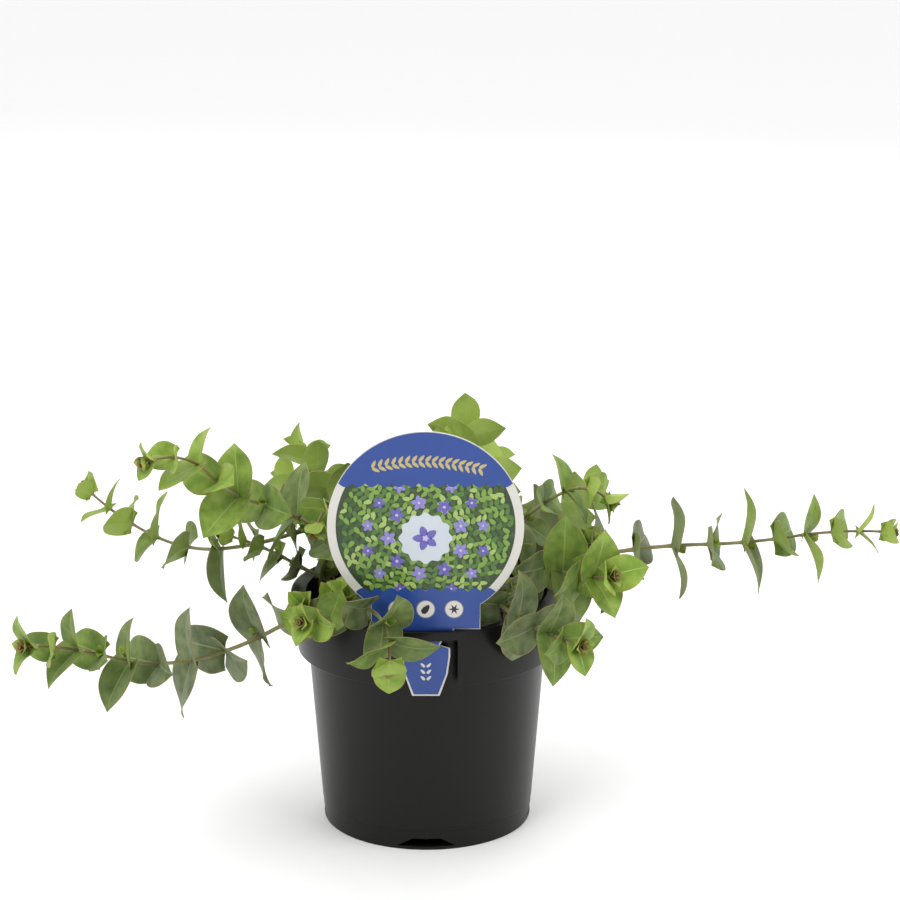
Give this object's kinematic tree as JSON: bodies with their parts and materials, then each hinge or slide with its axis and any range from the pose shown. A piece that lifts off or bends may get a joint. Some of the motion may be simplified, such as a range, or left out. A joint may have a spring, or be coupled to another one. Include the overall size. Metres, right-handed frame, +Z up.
{
  "type": "potted speedwell",
  "caption": "Trailing speedwell with clasping blue-green leaf pairs in a round black nursery pot with a skirted rim and a round plant tag.",
  "frame": {"origin": "centre of the pot's flat underside, on the pot's axis", "axes": "+Z up along the pot's axis, the tag faces -Y, +X to the right of the tag as it is looked at"},
  "size_m": [0.4464, 0.3836, 0.232],
  "materials": {
    "pot_plastic": "satin black moulded plastic",
    "potting_mix": "damp bark-based potting mix",
    "woody_crown": "rough brown bark",
    "tag_card": "printed semi-gloss plastic card",
    "bough_bark": "smooth olive-brown stem",
    "leaf_green": "matt blue-green leaves"
  },
  "bodies": {
    "root": {"pot": "pot_plastic", "potting_soil": "potting_mix", "crown": "woody_crown", "tag": "tag_card", "bough_left_low": "bough_bark", "bough_right_long": "bough_bark", "bough_left_high": "bough_bark", "bough_left_mid": "bough_bark", "bough_left_short": "bough_bark", "bough_top_left": "bough_bark", "bough_inner_left": "bough_bark", "bough_front_mid": "bough_bark", "bough_front_left": "bough_bark", "bough_front_right": "bough_bark", "bough_right_mid": "bough_bark", "bough_right_top": "bough_bark", "bough_top_back": "bough_bark", "bough_back_long": "bough_bark", "bough_back_trail": "bough_bark", "bough_back_right": "bough_bark", "bough_back_left": "bough_bark", "bough_back_up": "bough_bark", "foliage_left_low": "leaf_green", "foliage_right_long": "leaf_green", "foliage_left_high": "leaf_green", "foliage_left_mid": "leaf_green", "foliage_left_short": "leaf_green", "foliage_top_left": "leaf_green", "foliage_inner_left": "leaf_green", "foliage_front_mid": "leaf_green", "foliage_front_left": "leaf_green", "foliage_front_right": "leaf_green", "foliage_right_mid": "leaf_green", "foliage_right_top": "leaf_green", "foliage_top_back": "leaf_green", "foliage_back_long": "leaf_green", "foliage_back_trail": "leaf_green", "foliage_back_right": "leaf_green", "foliage_back_left": "leaf_green", "foliage_back_up": "leaf_green"}
  },
  "joints": []
}
